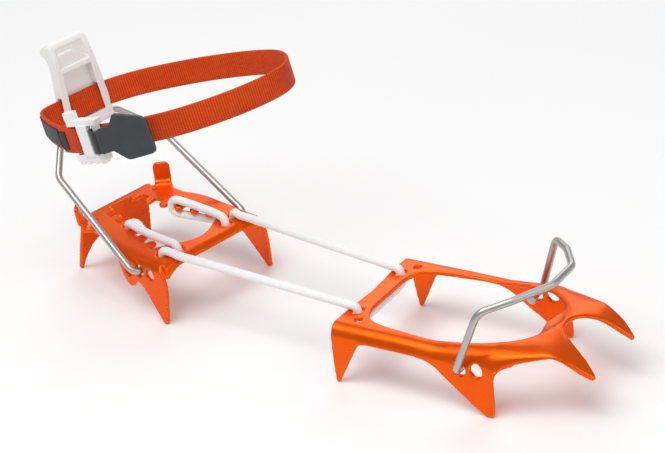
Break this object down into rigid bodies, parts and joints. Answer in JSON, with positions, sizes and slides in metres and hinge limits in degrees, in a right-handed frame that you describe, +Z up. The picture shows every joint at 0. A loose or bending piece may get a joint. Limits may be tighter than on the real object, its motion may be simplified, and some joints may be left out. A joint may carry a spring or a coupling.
{
  "type": "mountaineering crampon",
  "caption": "Light crampon: folded aluminium toe and heel frames with points, linked by a cord, with wire bails, a heel lever and an ankle strap.",
  "frame": {"origin": "on the ground, under the middle of the whole crampon's outline", "axes": "+X towards the toe, +Y to the left, +Z up; the front frame lies square to the axes and the heel frame is turned 13 degrees about Z"},
  "size_m": [0.3783, 0.1228, 0.1405],
  "materials": {
    "orange_sheet": "orange anodised, satin",
    "steel_wire": "drawn wire",
    "white_cord": "braided",
    "pale_plastic": "moulded, fine grain",
    "white_plastic": "moulded",
    "orange_webbing": "ribbed webbing",
    "black_tape": "woven",
    "dark_rubber": "matt"
  },
  "bodies": {
    "front": {"front_frame": "orange_sheet", "cord_front_bight": "white_cord"},
    "toe": {"toe_bail": "steel_wire"},
    "link": {"cord_strand_near": "white_cord", "cord_strand_far": "white_cord"},
    "heel": {"heel_frame": "orange_sheet", "cord_heel_wrap": "white_cord"},
    "bail": {"heel_bail": "steel_wire"},
    "lever": {"heel_lever": "pale_plastic", "buckle": "white_plastic", "buckle_pin": "steel_wire", "strap": "orange_webbing", "strap_tape": "black_tape", "strap_end_tab": "dark_rubber"}
  },
  "joints": [
    {"name": "toe_bail_hinge", "type": "hinge", "parent": "front", "child": "toe", "pos_m": [0.12111, -0.01385, 0.0244], "axis": [0, 1, 0], "range_deg": [-90, 28]},
    {"name": "cord_at_front", "type": "hinge", "parent": "front", "child": "link", "pos_m": [0.04171, -0.01385, 0.0354], "axis": [0, 1, 0], "range_deg": [-40, 90]},
    {"name": "cord_at_heel", "type": "hinge", "parent": "link", "child": "heel", "pos_m": [-0.07371, -0.00298, 0.0383], "axis": [0.225, 0.9744, 0], "range_deg": [-40, 55]},
    {"name": "heel_bail_hinge", "type": "hinge", "parent": "heel", "child": "bail", "pos_m": [-0.0928, 0.00142, 0.0275], "axis": [0.225, 0.9744, 0], "range_deg": [-30, 35]},
    {"name": "lever_pivot", "type": "hinge", "parent": "bail", "child": "lever", "pos_m": [-0.16978, 0.0192, 0.085], "axis": [0.225, 0.9744, 0], "range_deg": [-90, 20]}
  ]
}
